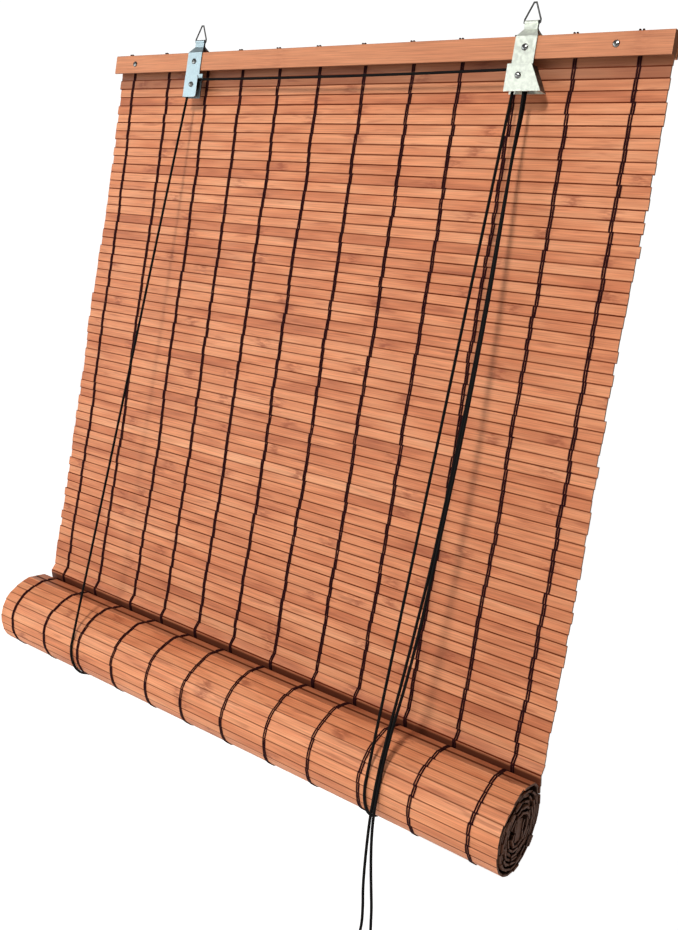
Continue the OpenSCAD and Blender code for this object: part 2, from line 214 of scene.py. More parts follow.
def zinc_material(name, tint, rough, metal=0.75, sides=False):
    m = Nodes(name)
    co = m.new("ShaderNodeTexCoord").outputs["Object"]
    a = m.noise(co, 420.0, 2.0, 0.5)
    b = m.noise(co, 2600.0, 2.0, 0.6)
    f = m.span(a, 0.3, 0.7, 0.88, 1.0)
    col = m.mix(1.0, tint, m.xyz(f, f, f), "MULTIPLY")
    # painted shade: faces turned towards +X are mixed to near-black, for the shade on the brackets' side walls and
    # sheet edges
    if sides:
        face = m.new("ShaderNodeSeparateXYZ")
        m.link(m.new("ShaderNodeNewGeometry").outputs["True Normal"], face.inputs[0])
        col = m.mix(m.span(face.outputs[0], 0.6, 0.85), col, (0.035, 0.032, 0.028))
    m.link(col, m.bsdf.inputs["Base Color"])
    m.surface(m.span(a, 0.3, 0.7, rough - 0.05, rough + 0.08), metal, 0.5)
    m.bump(b, 0.12, 0.00008)
    return m.mat


def thread_material(name, tint, freq):
    """Twisted yarn: the attribute holds the length along the strand and the angle round it."""
    m = Nodes(name)
    at = m.new("ShaderNodeAttribute", attribute_name="sl")
    sep = m.new("ShaderNodeSeparateXYZ")
    m.link(at.outputs["Vector"], sep.inputs[0])
    s, a, k = sep.outputs
    w1 = m.math("SINE", m.math("ADD", m.math("MULTIPLY", s, freq), m.math("MULTIPLY", a, 4.0)))
    w2 = m.math("SINE", m.math("SUBTRACT", m.math("MULTIPLY", s, freq), m.math("MULTIPLY", a, 4.0)))
    braid = m.math("MULTIPLY", w1, w2)
    f = m.span(braid, -0.8, 0.8, 0.8, 1.15)
    m.link(m.mix(1.0, tint, m.xyz(f, f, f), "MULTIPLY"), m.bsdf.inputs["Base Color"])
    m.surface(0.8, 0.0, 0.12)
    m.bump(braid, 0.5, 0.0002)
    return m.mat


SLAT_TONES = [(0.06, (0.40, 0.115, 0.048)), (0.30, (0.53, 0.172, 0.074)), (0.52, (0.63, 0.232, 0.106)),
              (0.76, (0.69, 0.282, 0.138)), (0.97, (0.735, 0.335, 0.175))]
RAIL_TONES = [(0.10, (0.53, 0.197, 0.094)), (0.5, (0.585, 0.229, 0.111)), (0.9, (0.64, 0.26, 0.13))]
mat_slat = bamboo_material("bamboo slats", SLAT_TONES)
# the rolled slats use a copy of the slat colours made 1.10 times brighter, a painted light on the roll, with a
# near-black painted shade colour for the inside of the roll and cut ends darker than the hanging slats', a painted
# shade for the roll's end
mat_roll = bamboo_material("rolled bamboo", SLAT_TONES, 1.0, 1.10, 8.65, 0.62, 0.95, (0.105, 0.018, 0.005), (0.135, 0.056, 0.032), (0.022, 0.009, 0.006))
mat_rail = bamboo_material("headrail wood", RAIL_TONES, 0.35, 1.0, 0.0, end_col=(0.20, 0.07, 0.03), shade_col=(0.05, 0.011, 0.004))
mat_zinc = zinc_material("zinc plated sheet", (0.95, 0.99, 0.875), 0.36, 0.71, True)
mat_zinc_blue = zinc_material("bluish zinc sheet", (0.415, 0.51, 0.555), 0.36, 0.73, True)
mat_steel = zinc_material("steel", (0.26, 0.26, 0.255), 0.2, 1.0)
mat_wire = zinc_material("ring wire", (0.06, 0.06, 0.06), 0.35, 0.6)
mat_cord = thread_material("braided cord", (0.0045, 0.004, 0.004), 2600.0)
mat_thread = thread_material("warp thread", (0.030, 0.0042, 0.0052), 4200.0)
m = Nodes("dark plastic")
speck = m.noise(m.new("ShaderNodeTexCoord").outputs["Object"], 900.0)
m.link(m.ramp(speck, [(0.3, (0.035, 0.033, 0.03)), (0.7, (0.05, 0.047, 0.044))]), m.bsdf.inputs["Base Color"])
m.surface(0.45)
mat_plastic = m.mat


# ------------------------------------------------------------------ mesh helpers
class Soup:
    """Collects vertices, faces and the shading attribute, then makes one object."""

    def __init__(self):
        self.v, self.f, self.a, self.n = [], [], [], 0

    def add(self, verts, faces, attr):
        verts = np.asarray(verts, float)
        self.v.append(verts)
        self.a.append(np.asarray(attr, float))
        self.f += [tuple(i + self.n for i in q) for q in faces]
        self.n += len(verts)

    def make(self, name, mat, smooth=False):
        v = np.concatenate(self.v) * MM
        name = name.replace(" ", "_")
        me = bpy.data.meshes.new(name)
        me.from_pydata(v.tolist(), [], self.f)
        at = me.attributes.new("sl", "FLOAT_VECTOR", "POINT")
        at.data.foreach_set("vector", np.concatenate(self.a).astype(np.float32).ravel())
        me.update()
        if smooth:
            me.polygons.foreach_set("use_smooth", [True] * len(me.polygons))
        me.materials.append(mat)
        o = bpy.data.objects.new(name, me)
        scene.collection.objects.link(o)
        return o


def add_bar(soup, p, d, n, h, t, x0, x1, k, rng, cut=0.35, wob=0.12, steps=16, crown=0.07, dim=(0.0, 0.0), lean=False, under=0.0, u_off=0.0, foot=0.0):
    """A strip along X. p is its first edge on the outer face (y, z), d runs across the strip, n goes into its thickness."""
    sec = [(cut, 0.0), (h * 0.5, -crown), (h - cut, 0.0), (h, cut), (h, t - cut), (h - cut, t), (h * 0.5, t + crown), (cut, t), (0.0, t - cut), (0.0, cut)]
    if len(dim) > 2:
        sec.insert(1, (dim[3], -crown * 0.3))
    ns = len(sec)
    xs = np.linspace(x0, x1, steps + 1)
    ph = [rng.uniform(0, 6.28) for _ in range(4)]
    verts, attr = [], []
    for x in xs:
        du0 = wob * (math.sin(x * 0.013 + ph[0]) + 0.5 * math.sin(x * 0.041 + ph[1])) * 0.6
        du1 = wob * (math.sin(x * 0.015 + ph[2]) + 0.5 * math.sin(x * 0.037 + ph[3])) * 0.6
        dw = wob * 0.8 * math.sin(x * 0.009 + ph[1])
        for u, w in sec:
            uu = u + du0 + (du1 - du0) * u / h - (under * w / t if u > h * 0.5 else 0.0)
            ww = w + dw
            y = p[0] + d[0] * uu + n[0] * ww
            ly, lz = roll_lean(x, y) if lean else (0.0, 0.0)
            verts.append((x, y + ly, p[1] + d[1] * uu + n[1] * ww + lz))
            # painted shade: dim gives the shade of the outer face and of the back face; with four entries the outer
            # face's shade deepens by dim[2] over dim[3] mm from the first edge; foot paints shade along the far long
            # edge
            shade = dim[1] if w > t * 0.5 else dim[0] + (dim[2] * min(1.0, max(0.0, u - cut) / (dim[3] - cut)) if len(dim) > 2 else 0.0)
            shade = max(shade, foot if u == h else 0.0)
            attr.append((x * MM, u + (w * 0.6 if w > cut else 0.0) + u_off, k + shade))
    faces = []
    for i in range(steps):
        for j in range(ns):
            a, b = i * ns + j, i * ns + (j + 1) % ns
            faces.append((a, b, b + ns, a + ns))
    faces.append(tuple(range(ns - 1, -1, -1)))
    faces.append(tuple(steps * ns + j for j in range(ns)))
    # the faces must look outwards: compare with the thickness direction
    if d[0] * n[1] - d[1] * n[0] < 0:
        faces = [tuple(reversed(q)) for q in faces]
    soup.add(verts, faces, attr)


def roll_lean(x, y):
    """The roll doesn't hang quite straight: the front of its left end is a little further forwards and lower."""
    q = min(1.0, max(0.0, (294.0 - x) / 592.0))
    w = min(1.0, max(0.0, (1.0 - y) / 24.0))
    w = w * w * (3 - 2 * w)
    return -4.0 * q * w, -2.2 * q * w


def smooth_path(pts, step=2.0):
    """Points along a smooth curve through pts."""
    p = np.asarray(pts, float)
    p = np.vstack([2 * p[0] - p[1], p, 2 * p[-1] - p[-2]])
    out = []
    for i in range(1, len(p) - 2):
        n = max(2, int(np.linalg.norm(p[i + 1] - p[i]) / step))
        for q in range(n):
            t = q / n
            a, b, c, e = p[i - 1], p[i], p[i + 1], p[i + 2]
            out.append(0.5 * ((2 * b) + (c - a) * t + (2 * a - 5 * b + 4 * c - e) * t * t + (3 * b - a - 3 * c + e) * t ** 3))
    out.append(p[-2])
    return np.array(out)


def add_tube(soup, pts, r, sides=10, k=0.0, caps=True, squeeze=None):
    """A round tube along pts. squeeze=(axis vector, factor) flattens its section."""
    p = np.asarray(pts, float)
    n = len(p)
    t = np.gradient(p, axis=0)
    t /= np.linalg.norm(t, axis=1)[:, None]
    ref = np.array([0.0, 1.0, 0.0]) if abs(t[0][1]) < 0.9 else np.array([1.0, 0.0, 0.0])
    u = np.cross(t[0], ref)
    u /= np.linalg.norm(u)
    s = np.concatenate([[0.0], np.cumsum(np.linalg.norm(np.diff(p, axis=0), axis=1))])
    verts, attr = [], []
    ang = np.arange(sides) * 2 * math.pi / sides
    for i in range(n):
        u = u - t[i] * np.dot(u, t[i])
        u /= np.linalg.norm(u)
        w = np.cross(t[i], u)
        ring = r * (np.cos(ang)[:, None] * u + np.sin(ang)[:, None] * w)
        if squeeze is not None:
            ax = np.asarray(squeeze[0], float)
            ring = ring - np.outer(ring @ ax, ax) * (1 - squeeze[1])
        verts.append(p[i] + ring)
        attr.append(np.stack([np.full(sides, s[i] * MM), ang, np.full(sides, k)], 1))
    verts, attr = np.concatenate(verts), np.concatenate(attr)
    faces = []
    for i in range(n - 1):
        for j in range(sides):
            a, b = i * sides + j, i * sides + (j + 1) % sides
            faces.append((a, b, b + sides, a + sides))
    if caps:
        faces.append(tuple(range(sides - 1, -1, -1)))
        faces.append(tuple((n - 1) * sides + j for j in range(sides)))
    soup.add(verts, faces, attr)


def add_ball(soup, c, r, k=0.0, stretch=(1, 1, 1), rough=0.0, rng=None, rings=8, sides=12):
    verts, attr, faces = [], [], []
    for i in range(rings + 1):
        th = math.pi * i / rings
        for j in range(sides):
            a = 2 * math.pi * j / sides
            q = r * (1 + (rough * math.sin(3 * a + 2.2 * th * 3) if rough else 0))
            verts.append((c[0] + q * stretch[0] * math.sin(th) * math.cos(a), c[1] + q * stretch[1] * math.sin(th) * math.sin(a), c[2] + q * stretch[2] * math.cos(th)))
            attr.append((r * th * MM, a, k))
    for i in range(rings):
        for j in range(sides):
            a, b = i * sides + j, i * sides + (j + 1) % sides
            faces.append((a, a + sides, b + sides, b))
    soup.add(verts, faces, attr)


# ------------------------------------------------------------------ measures shared with the frame
PITCH, SLAT_H, SLAT_T, Y_MAT = 8.65, 8.2, 1.6, 4.0
N_UP, N_ALL = 8, 63
WARP_OFF = [3.3, 5.4, 11.2, 7.1, 4.8, 2.4, 2.9, 3.5, 0.8, 1.7, 0.7, 2.0]
WARPS = [-280.0 + 50.0 * i + WARP_OFF[i] for i in range(12)]
SWAY = [1.4, 1.35, 1.2, 1.1, 1.0, 1.0, 1.0, 1.0, 0.9, 0.8, 0.7, 0.6]


def drift_x(row, warp):
    """The hanging mat isn't quite square: its threads wander sideways from row to row."""
    g = np.interp(row, (0, 4, 12, 20, 28, 36, 44, 52, 60, 63), (0.2, 0.8, 2.0, 1.7, 0.3, -0.1, 0.6, -1.4, -3.4, -4.0))
    return float(g) * SWAY[warp]


def slat_ends(row):
    a = np.interp(row, (1, 7, 13, 19, 25, 31, 37, 43, 49, 55, 61), (1.7, 3.7, 4.2, 3.0, 0.3, -1.4, -0.6, -2.2, -3.3, -5.0, -5.8))
    b = np.interp(row, (1, 7, 13, 19, 25, 31, 37, 43, 49, 55, 61), (2.6, 3.3, 3.0, 2.0, 0.1, -0.3, 0.6, 1.2, 0.8, 0.8, 0.3))
    return -298.0 + float(a), 294.0 + float(b)

ROLL_Y, ROLL_Z = -23.0, -620.5


def slat_top(i):
    return -32.2 - i * PITCH


# ------------------------------------------------------------------ cords
def arc_y(cx, y, cz, r, a0, a1, n=14):
    """A bend in the plane that faces the room."""
    return [(cx + r * math.cos(math.radians(a)), y, cz + r * math.sin(math.radians(a))) for a in np.linspace(a0, a1, n)]


CORD_R = 1.2
X_L, X_R, Z_AX, R_WRAP = -174.6, 184.0, -59.0, 5.5
Y_L, Y_RR, Y_RF = -8.0, -7.7, -11.3
SLING_L, SLING_R = -185.0, 176.5

# hanks of the length that the picture doesn't show
HANK_X, HANK_TOP, HANK_RUN = 193.6, -759.3, 36.0


def hank_path(side, y0, dy):
    """Turns of a flat hank: down the run on this side, round the foot, up the other run, over the top."""
    pts = []
    state = {"lay": 0}
    radii = [(7.0, 5, 1), (9.1, 4, -1), (11.2, 4, 1)]
    lay = 0.0
    r_prev = 7.0
    for r, turns, s in radii:
        for n in range(turns):
            y = y0 + dy * lay
            z_low = HANK_TOP - HANK_RUN
            for q in np.linspace(0, 1, 9)[:-1]:
                e = q * q * (3 - 2 * q)
                rr = r_prev + (r - r_prev) * e
                pts.append((HANK_X + side * rr, y, HANK_TOP - HANK_RUN * q))
            r_prev = r
            for a in np.linspace(0, math.pi, 13)[:-1]:
                pts.append((HANK_X + side * r * math.cos(a), y, z_low - r * math.sin(a)))
            for q in np.linspace(0, 1, 9)[:-1]:
                e = q * q * (3 - 2 * q)
                pts.append((HANK_X - side * r, y + dy * s * e, z_low + HANK_RUN * q))
            lay += s
            y = y0 + dy * lay
            for a in np.linspace(0, math.pi, 13)[:-1]:
                pts.append((HANK_X - side * r * math.cos(a), y, HANK_TOP + r * math.sin(a)))
    # the last run carries on past the foot as the tail with the end knot
    y = y0 + dy * lay
    for q in np.linspace(0, 1, 10):
        pts.append((HANK_X + side * 11.2, y, HANK_TOP - (HANK_RUN + 12.5) * q))
    return pts


ROUTE_A1 = [(189.5, -7.7, -70.5), (190.2, -9.2, -90), (190.0, -12.4, -122), (191.2, -16.1, -160), (194.0, -23.5, -240), (195.6, -32.3, -335), (194.8, -41.2, -430), (192.5, -47, -492), (190.4, -51.2, -536), (188.4, -54.4, -570), (186.9, -57.0, -600), (186.6, -58.4, -620), (186.3, -58.7, -640)]
ROUTE_B1 = [(189.5, -11.3, -70.5), (190.5, -12.6, -90), (191.3, -15.4, -122), (193.4, -18.8, -160), (196.8, -25.6, -240), (198.4, -33.8, -335), (197.6, -42.2, -430), (196.5, -47.6, -492), (194.2, -51.5, -536), (191.2, -54.6, -570), (189.4, -57.1, -600), (189.1, -58.4, -620), (189.1, -58.7, -640)]
ROUTE_A2 = [(186.3, -58.7, -640), (186.4, -58.6, -652), (186.8, -58.0, -668), (187.4, -57.0, -686), (188.3, -55.6, -704), (189.6, -53.6, -720), (190.2, -52.2, -734), (189.2, -51.5, -745), (187.2, -51.3, -754)]
ROUTE_B2 = [(189.1, -58.7, -640), (189.6, -58.5, -652), (190.7, -57.4, -668), (192.4, -55.4, -686), (194.2, -52.8, -704), (195.8, -50.4, -720), (196.9, -49, -734), (198.4, -48.7, -745), (200.1, -48.7, -754)]


def cord_piece(name, paths, body, nodes, sides=12):
    s = Soup()
    for i, p in enumerate(paths):
        add_tube(s, p, CORD_R, sides, float(i))
    o = s.make(name, mat_cord, True)
    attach(o, body)
    if nodes:
        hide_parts(*nodes)
    return o


knots = Soup()
for side, y0, dy in ((-1, -51.3, -2.1), (1, -48.7, 2.1)):
    c = (HANK_X + side * 11.2, y0 + dy * 5, HANK_TOP - HANK_RUN - 13.6)
    add_ball(knots, c, 2.5, 0.0, (1, 1, 1.05), 0.10)
    add_tube(knots, [(c[0] + 0.4, c[1], c[2] - 1.5), (c[0] + 0.8, c[1], c[2] - 4), (c[0] + 1.2, c[1] + 0.3, c[2] - 6)], CORD_R)
knot_piece = knots.make("end knots", mat_cord, True)
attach(knot_piece, "slings")
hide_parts("pull_knots")

tie = Soup()
loop = []
hx, hy, rr = 13.5, 14.2, 4.0
for q in range(3):
    for cx, cy, a0 in ((hx - rr, hy - rr, 0), (-hx + rr, hy - rr, 90), (-hx + rr, -hy + rr, 180), (hx - rr, -hy + rr, 270)):
        for a in np.linspace(a0, a0 + 90, 7):
            frac = (q + (a / 360.0)) * 2.15
            loop.append((HANK_X + cx + rr * math.cos(math.radians(a)), -50.0 + cy + rr * math.sin(math.radians(a)), HANK_TOP - HANK_RUN / 2 - 3.2 + frac))
add_tube(tie, loop, CORD_R, 10)
tie_piece = tie.make("hank tie", mat_cord, True)
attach(tie_piece, "slings")
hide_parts("hank_tie")


for tag, route, side, y0, dy in (("a", ROUTE_A2, -1, -51.3, -2.1), ("b", ROUTE_B2, 1, -48.7, 2.1)):
    head = smooth_path(route + [(HANK_X + side * 7.0, y0, HANK_TOP)], 3.0)
    p = np.vstack([head[:-1], np.array(hank_path(side, y0, dy))])
    s = Soup()
    add_tube(s, p, CORD_R, 10, 3.0)
    o = s.make("pull cord " + tag, mat_cord, True)
    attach(o, "slings")
    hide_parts("pull_cord_" + tag, "hank_" + tag)

held = cord_piece("pull cords to the lock", [smooth_path(ROUTE_A1[:11], 6.0), smooth_path(ROUTE_B1[:11], 6.0)], "headrail", ["held_pull_cords"])
at_roll = cord_piece("pull cords at the roll", [smooth_path(ROUTE_A1[10:], 6.0), smooth_path(ROUTE_B1[10:], 6.0)], "slings", [])
cross = arc_y(X_L, Y_L, Z_AX, R_WRAP, 180, 90) + [(X_L + (X_R - X_L) * q, Y_L + (Y_RF - Y_L) * q, Z_AX + R_WRAP - 1.2 * math.sin(math.pi * q)) for q in np.linspace(0.03, 0.97, 24)]
cross += arc_y(X_R, Y_RF, Z_AX, R_WRAP, 90, 0) + [(X_R + R_WRAP, Y_RF, -65), (X_R + R_WRAP, Y_RF, -71)]
cord_piece("crossing cord", [cross], "headrail", ["crossing_cord"])
wrap = arc_y(X_R, Y_RR, Z_AX, R_WRAP, 180, 0, 24) + [(X_R + R_WRAP, Y_RR, -65), (X_R + R_WRAP, Y_RR, -71)]
cord_piece("right cord wrap", [wrap], "headrail", ["right_cord_wrap"])

# ------------------------------------------------------------------ the roll's outline, seen from its right end
OUTLINE = [(2.1, -593), (7.5, -606.5), (9.4, -616), (7.1, -628), (4, -636.4), (-2.6, -644.3), (-11.2, -651), (-18.1, -653.5), (-29.5, -655.5),
           (-39.6, -652.1), (-47.1, -646.6), (-51.6, -638.4), (-54.5, -628.8), (-55.8, -620), (-54.8, -614.2), (-52, -606.7), (-47.6, -601.2),
           (-40.5, -596.5), (-31.8, -591.4), (-23.9, -586)]
LAYER = 3.35
TH0 = math.atan2(-593 - ROLL_Z, 2.1 - ROLL_Y)


def fit_outline():
    rows, vals = [], []
    for y, z in OUTLINE:
        th = math.atan2(z - ROLL_Z, y - ROLL_Y)
        wound = ((TH0 - th) % (2 * math.pi)) / (2 * math.pi)
        rows.append([1.0] + [f(k * th) for k in (1, 2, 3) for f in (math.cos, math.sin)])
        vals.append(math.hypot(y - ROLL_Y, z - ROLL_Z) + LAYER * wound)
    c, *_ = np.linalg.lstsq(np.array(rows), np.array(vals), rcond=None)
    return c


COEF = fit_outline()


# the outer turn, with the flat strip on top of the roll at its end
TURN_W = (0.0, 0.064, 0.11, 0.171, 0.217, 0.269, 0.324, 0.359, 0.411, 0.459, 0.501, 0.543, 0.591, 0.635, 0.663, 0.703, 0.738, 0.782, 0.836, 0.872, 0.921, 0.958, 0.99, 1.03)
TURN_R = (37.0, 33.9, 32.9, 31.7, 31.5, 31.9, 32.9, 33.6, 34.9, 35.4, 35.0, 34.0, 33.1, 32.8, 32.5, 31.9, 31.2, 30.7, 31.6, 33.6, 34.6, 36.8, 36.0, 33.2)


def spiral_r(wound):
    th = TH0 - wound * 2 * math.pi
    full = sum(c * b for c, b in zip(COEF, [1.0] + [f(k * th) for k in (1, 2, 3) for f in (math.cos, math.sin)]))
    fade = max(0.0, 1.0 - wound / 7.0)
    inner = COEF[0] + (full - COEF[0]) * fade - LAYER * wound
    q = min(1.0, max(0.0, (wound - 0.985) / 0.075))
    q = q * q * (3 - 2 * q)
    return float(np.interp(wound, TURN_W, TURN_R)) * (1 - q) + inner * q


def spiral_pt(wound):
    th = TH0 - wound * 2 * math.pi
    r = spiral_r(wound)
    return np.array([ROLL_Y + r * math.cos(th), ROLL_Z + r * math.sin(th)])


# slat edges along the spiral, a pitch apart, both ways from the front corner of the top strip
def next_edge(w, sign):
    here = spiral_pt(w)
    step = sign * PITCH / (2 * math.pi * max(8.0, spiral_r(w)))
    for _ in range(8):
        step *= PITCH / np.linalg.norm(spiral_pt(w + step) - here)
    return w + step


CORNER = 0.872
edges = [CORNER]
while next_edge(edges[0], -1) > 0.028:
    edges.insert(0, next_edge(edges[0], -1))
N_OUTER = len(edges)
while spiral_r(next_edge(edges[-1], 1)) > 12.5:
    edges.append(next_edge(edges[-1], 1))

# lift cords from the pulleys to the roll, round it, and up behind the mat
def sling_r(th):
    wound = ((TH0 - th) % (2 * math.pi)) / (2 * math.pi)
    return spiral_r(wound) + CORD_R + 0.15


A_F, A_B = math.radians(176.0), math.radians(2.0)
EXIT_Z, REACH_Z = -80.0, -600.0
for tag, x, xp, yp in (("left", SLING_L, X_L - R_WRAP, Y_L), ("right", SLING_R, X_R - R_WRAP, Y_RR)):
    top = (xp, yp, Z_AX)
    pts = []
    for th in np.linspace(A_F, A_B + 2 * math.pi, 60):
        r = sling_r(th)
        ly, lz = roll_lean(x, ROLL_Y + r * math.cos(th))
        pts.append((x, ROLL_Y + r * math.cos(th) + ly, ROLL_Z + r * math.sin(th) + lz))
    end = pts[0]
    q0, q1 = (Z_AX - EXIT_Z) / (Z_AX - end[2]), (Z_AX - REACH_Z) / (Z_AX - end[2])

    def along(q):
        return tuple(np.array(top) + (np.array(end) - np.array(top)) * q)

    cord_piece(tag + " sling", [[along(q) for q in np.linspace(q1, 1, 4)[:-1]] + pts], "slings", [tag + "_sling"])
    cord_piece(tag + " cord exit", [[along(q) for q in np.linspace(0, q0, 4)]], "headrail", [])
    front = cord_piece(tag + " lift cord", [[along(q) for q in np.linspace(q0, q1, 30)]], "headrail", [tag + "_front_cord"])
    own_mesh(front)
    back_end = pts[-1]
    xt = -182.0 if x < 0 else x
    tie_pt = (xt, 7.4, -48.6)
    line = [(xt, 10.2, -47.5), (xt, 8.9, -47.5), (xt, 7.9, -47.75), tie_pt]
    line += [tuple(np.array(tie_pt) + (np.array(back_end) - np.array(tie_pt)) * q) for q in np.linspace(0.01, 1, 30)]
    back = cord_piece(tag + " back cord", [line], "headrail", [tag + "_back_cord"])
    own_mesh(back)
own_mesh(held)
s = Soup()
for x in (-182.0, SLING_R):
    add_ball(s, (x, 11.7, -47.5), 2.3, 0.0, (1, 0.95, 1), 0.08)
    add_tube(s, [(x, 12.5, -48), (x + 0.5, 13.0, -51), (x + 0.9, 12.9, -54)], CORD_R)
o = s.make("fixed knots", mat_cord, True)
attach(o, "headrail")
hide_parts("cord_knots")

# ------------------------------------------------------------------ slats
rng = random.Random(11)
heights = [rng.uniform(8.74, 8.82) if rng.random() < 0.2 else rng.uniform(8.78, 8.95) for _ in range(400)]


def slat_piece(name, rows, node, body, mat=None):
    s = Soup()
    for row in rows:
        add_bar(s, *row[0], **row[1])
    o = s.make(name, mat or mat_slat)
    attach(o, body)
    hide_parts(node)
    return o


# painted shade on the first slats under the headrail, where the headrail and the crossing cord shade them
PAINTED_SHADE_ROWS = {1: 0.48, 2: 0.54, 3: 0.14}
hang = []
for i in range(N_ALL):
    h = heights[i] if i else 8.2
    z = slat_top(i) + (h - PITCH) * 0.5
    dy = rng.uniform(-0.12, 0.12) if i > 1 else 0.0
    x0, x1 = slat_ends(i)
    hang.append((((Y_MAT + dy, z), (0.0, -1.0), (1.0, 0.0), h, SLAT_T, x0 + rng.uniform(-1.3, 1.3), x1 + rng.uniform(-1.0, 1.0), float(i) + PAINTED_SHADE_ROWS.get(i, 0.0), rng), {}))
upper = slat_piece("upper slats", hang[:N_UP], "upper_slats", "headrail")
lower = slat_piece("lower slats", hang[N_UP:], "lower_slats", "headrail")
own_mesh(lower)

BEND = [(4.55, -576.5), (-0.1, -584.9), (2.9, -593.9), (5.0, -600.4)]
# painted shade on the bend slats: the second darkens within 2.6 mm of its top edge where it folds behind the roll, the
# third is mostly dark, and their backs are shaded
BEND_PAINTED_SHADE = [(0.0, 0.3), (0.05, 0.3, 0.90, 2.6), (0.9, 0.1)]
bend_rows = []
for i in range(3):
    a, b = np.array(BEND[i]), np.array(BEND[i + 1])
    d = (b - a) / np.linalg.norm(b - a)
    n = np.array([-d[1], d[0]])
    if n[0] < 0:
        n = -n
    x0, x1 = slat_ends(62)
    bend_rows.append(((tuple(a), tuple(d), tuple(n), float(np.linalg.norm(b - a)), SLAT_T, x0 + rng.uniform(-0.6, 0.6), x1 + rng.uniform(-0.6, 0.6), 63.0 + i, rng), {"dim": BEND_PAINTED_SHADE[i], "u_off": (-0.15, 0.35, 0.0)[i]}))
bend = slat_piece("bend slats", bend_rows, "bend_slats", "slings")

roll_rows = []
roll_frames = []
for i in range(len(edges) - 1):
    a, b = spiral_pt(edges[i]), spiral_pt(edges[i + 1])
    d = (b - a) / np.linalg.norm(b - a)
    n = np.array([-d[1], d[0]])
    mid = (a + b) / 2 - np.array([ROLL_Y, ROLL_Z])
    if np.dot(n, mid) > 0:
        n = -n
    h = heights[70 + i]
    roll_frames.append((a, d, n))
    outer = i < N_OUTER + 2
    loose = rng.uniform(-0.07, 0.07) if outer else rng.uniform(-0.3, 0.2)
    end = 0.7 if outer else 1.3
    lip = 0.7 if i == N_OUTER - 1 else 0.0
    # painted shade on the roll: the backs of the outer turn and all of the inner turns are darkened as the inside of
    # the roll; the lip slat at the front corner of the top strip keeps its front edge in full colour (u_off moves the
    # edge darkening off it) with painted shade deepening behind it, and the two strip slats behind it carry painted
    # shade 0.30 for the shaded top of the roll
    dim = (0.0, 0.9) if outer else (0.88, 0.95)
    if lip:
        dim = (0.0, 0.0, 0.38, 1.5)
    elif i in (N_OUTER, N_OUTER + 1):
        dim = (0.30, 0.9)
    if not outer:
        lift = rng.uniform(-0.13, 0.13)
        d = np.array([d[0] * math.cos(lift) - d[1] * math.sin(lift), d[0] * math.sin(lift) + d[1] * math.cos(lift)])
        n = np.array([n[0] * math.cos(lift) - n[1] * math.sin(lift), n[0] * math.sin(lift) + n[1] * math.cos(lift)])
    roll_rows.append(((tuple(a - d * (0.1 + lip) + n * loose), tuple(d), tuple(n), h + lip, SLAT_T, -302.6 + rng.uniform(-end, end), 294.4 + rng.uniform(-end, end), 70.0 + i, rng),
                      {"steps": 12, "lean": True, "dim": dim, "u_off": 1.5 if lip else 0.0}))
# four loose slats beside the core strip, with the same painted shade as the inner turns
for i, (dy, dz, tip, face) in enumerate(((-7.4, 7.2, 0.12, 1), (-6.9, -1.6, -0.16, 1), (6.6, 6.8, -0.10, -1), (7.0, -1.9, 0.14, -1))):
    d = np.array([math.sin(tip), -math.cos(tip)])
    n = np.array([math.cos(tip), math.sin(tip)]) * face
    roll_rows.append((((ROLL_Y + dy, ROLL_Z + dz), tuple(d), tuple(n), 8.0, SLAT_T, -302.0 + rng.uniform(-1.3, 1.3), 294.0 + rng.uniform(-1.3, 1.3), 260.0 + i, rng), {"steps": 4, "dim": (0.88, 0.95)}))
rolled = slat_piece("rolled slats", roll_rows, "rolled_mat", "roll", mat_roll)

# ------------------------------------------------------------------ warp threads
def strand(soup, a, d, n, h, x, out, k, rng, sides=5):
    """One strand over one slat's face. n points into the slat, so the strand lies at -out on the face."""
    pts = []
    lean = rng.uniform(-0.12, 0.12)
    for q, w in ((-0.035, 0.75), (0.03, -0.02), (0.5, -0.24), (0.97, -0.02), (1.035, 0.75)):
        c = np.array(a) + np.array(d) * (h * q) + np.array(n) * (w if out > 0 else SLAT_T - w)
        pts.append((x + lean * (q - 0.5) * 2, c[0], c[1]))
    add_tube(soup, pts, 0.82, sides, k, caps=False)


def dash(soup, a, d, n, x, length, front, k):
    """The short end of a knot that shows beside the strands in the gap between two slats."""
    w = -0.12 if front else SLAT_T + 0.12
    c = np.array(a) + np.array(d) * 0.0 + np.array(n) * w
    pts = [(x, c[0], c[1]), (x + length * 0.5, c[0] - n[0] * 0.1, c[1]), (x + length, c[0] + n[0] * 0.3, c[1])]
    add_tube(soup, pts, 0.55, 5, k, caps=True)


def warp_rows(soup, rows, rng, both=True, front=True, first=0, lean=False):
    """rows: (edge point, direction, thickness direction) of each slat."""
    for j, wx in enumerate(WARPS):
        side = 0.0
        for r, (a, d, n) in enumerate(rows):
            x = wx + drift_x(min(63, first + r), j)
            if lean:
                x -= 0.3 * WARP_OFF[j] if j == 2 else 0.0
                a = np.array(a) + np.array(roll_lean(x, a[0] + d[0] * PITCH * 0.5))
            side = 0.5 * side + rng.uniform(-0.85, 0.85)
            k = float(rng.randrange(100))
            for sgn in (-1, 1):
                if front:
                    strand(soup, a, d, n, PITCH, x + side + sgn * 0.95, 1, k + sgn, rng)
                if both:
                    strand(soup, a, d, n, PITCH, x - side + sgn * 0.7, -1, k + sgn, rng, 4)
            dash(soup, a, d, n, x + side - 0.9, rng.choice((1.9, 2.2, 3.0, 3.6)), front, k)


